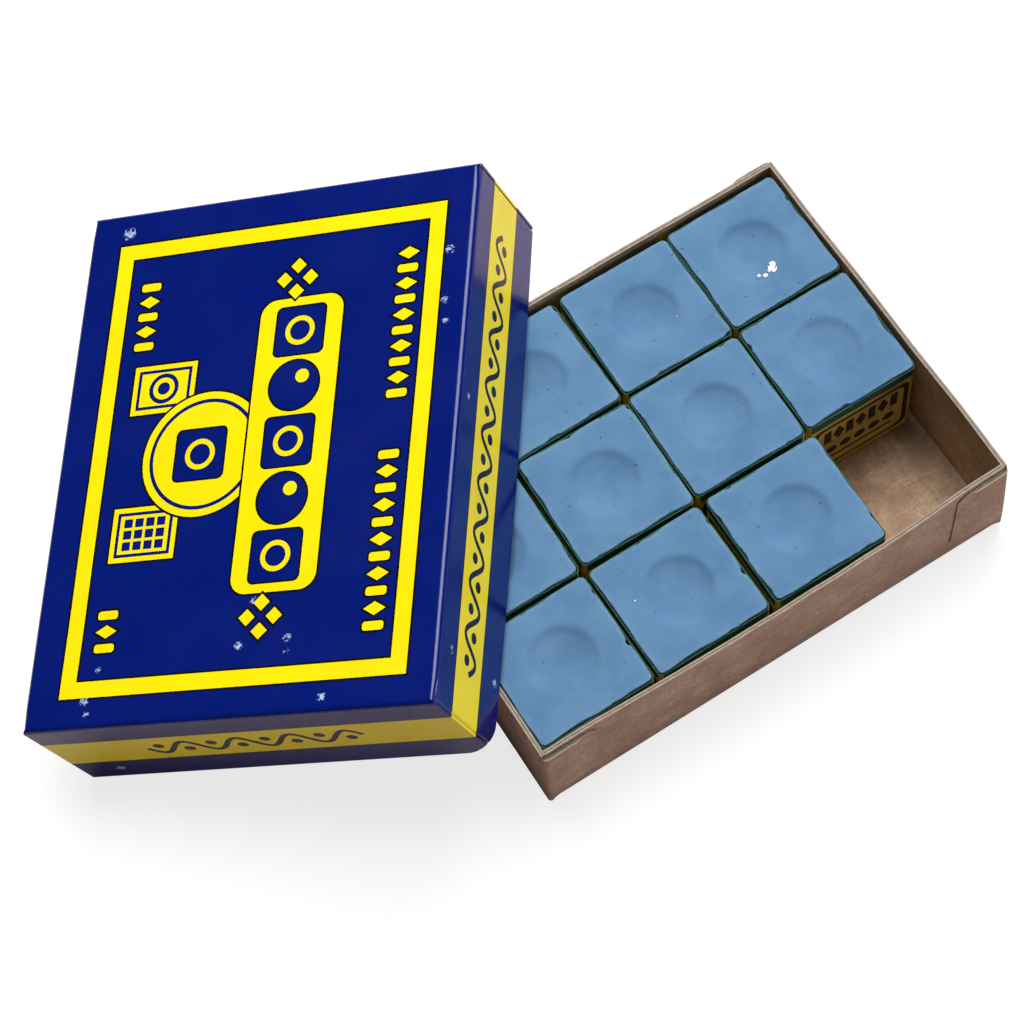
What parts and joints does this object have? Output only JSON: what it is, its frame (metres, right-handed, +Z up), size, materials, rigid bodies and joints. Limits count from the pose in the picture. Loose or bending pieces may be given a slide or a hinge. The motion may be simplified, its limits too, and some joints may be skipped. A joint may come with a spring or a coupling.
{
  "type": "boxed set of billiard cue chalk",
  "caption": "Folded card tray of paper-wrapped billiard chalk cubes with dimpled tops, one place empty, and its printed card lid leaning across one corner of the tray.",
  "frame": {"origin": "centre of the tray's underside, on the surface the set stands on", "axes": "+X along the tray's long side, towards the end with the empty place; +Y towards the tray's back wall; +Z up"},
  "size_m": [0.1639, 0.1315, 0.0466],
  "materials": {
    "chalk": "matte",
    "label_paper": "matte",
    "tray_board": "matte",
    "lid_board": "satin"
  },
  "bodies": {
    "tray": {"tray": "tray_board"},
    "lid": {"lid": "lid_board"},
    "cube_front_1": {"chalk_front_1": "chalk", "label_front_1": "label_paper"},
    "cube_front_2": {"chalk_front_2": "chalk", "label_front_2": "label_paper"},
    "cube_front_3": {"chalk_front_3": "chalk", "label_front_3": "label_paper"},
    "cube_middle_1": {"chalk_middle_1": "chalk", "label_middle_1": "label_paper"},
    "cube_middle_2": {"chalk_middle_2": "chalk", "label_middle_2": "label_paper"},
    "cube_middle_3": {"chalk_middle_3": "chalk", "label_middle_3": "label_paper"},
    "cube_middle_4": {"chalk_middle_4": "chalk", "label_middle_4": "label_paper"},
    "cube_back_1": {"chalk_back_1": "chalk", "label_back_1": "label_paper"},
    "cube_back_2": {"chalk_back_2": "chalk", "label_back_2": "label_paper"},
    "cube_back_3": {"chalk_back_3": "chalk", "label_back_3": "label_paper"},
    "cube_back_4": {"chalk_back_4": "chalk", "label_back_4": "label_paper"}
  },
  "joints": [
    {"name": "lid_lift", "type": "slide", "parent": "tray", "child": "lid", "axis": [0, 0, 1], "range_m": [0, 0.06]},
    {"name": "cube_front_1_lift", "type": "slide", "parent": "tray", "child": "cube_front_1", "axis": [0, 0, 1], "range_m": [0, 0.03]},
    {"name": "cube_front_2_lift", "type": "slide", "parent": "tray", "child": "cube_front_2", "axis": [0, 0, 1], "range_m": [0, 0.03]},
    {"name": "cube_front_3_lift", "type": "slide", "parent": "tray", "child": "cube_front_3", "axis": [0, 0, 1], "range_m": [0, 0.03]},
    {"name": "cube_middle_1_lift", "type": "slide", "parent": "tray", "child": "cube_middle_1", "axis": [0, 0, 1], "range_m": [0, 0.03]},
    {"name": "cube_middle_2_lift", "type": "slide", "parent": "tray", "child": "cube_middle_2", "axis": [0, 0, 1], "range_m": [0, 0.03]},
    {"name": "cube_middle_3_lift", "type": "slide", "parent": "tray", "child": "cube_middle_3", "axis": [0, 0, 1], "range_m": [0, 0.03]},
    {"name": "cube_middle_4_lift", "type": "slide", "parent": "tray", "child": "cube_middle_4", "axis": [0, 0, 1], "range_m": [0, 0.03]},
    {"name": "cube_back_1_lift", "type": "slide", "parent": "tray", "child": "cube_back_1", "axis": [0, 0, 1], "range_m": [0, 0.03]},
    {"name": "cube_back_2_lift", "type": "slide", "parent": "tray", "child": "cube_back_2", "axis": [0, 0, 1], "range_m": [0, 0.03]},
    {"name": "cube_back_3_lift", "type": "slide", "parent": "tray", "child": "cube_back_3", "axis": [0, 0, 1], "range_m": [0, 0.03]},
    {"name": "cube_back_4_lift", "type": "slide", "parent": "tray", "child": "cube_back_4", "axis": [0, 0, 1], "range_m": [0, 0.03]}
  ],
  "couplings": [
    {"joint": "cube_front_1_lift", "follows": "lid_lift", "ratio": 0.5},
    {"joint": "cube_middle_1_lift", "follows": "lid_lift", "ratio": 0.5},
    {"joint": "cube_middle_2_lift", "follows": "lid_lift", "ratio": 0.5},
    {"joint": "cube_back_1_lift", "follows": "lid_lift", "ratio": 0.5},
    {"joint": "cube_back_2_lift", "follows": "lid_lift", "ratio": 0.5}
  ]
}
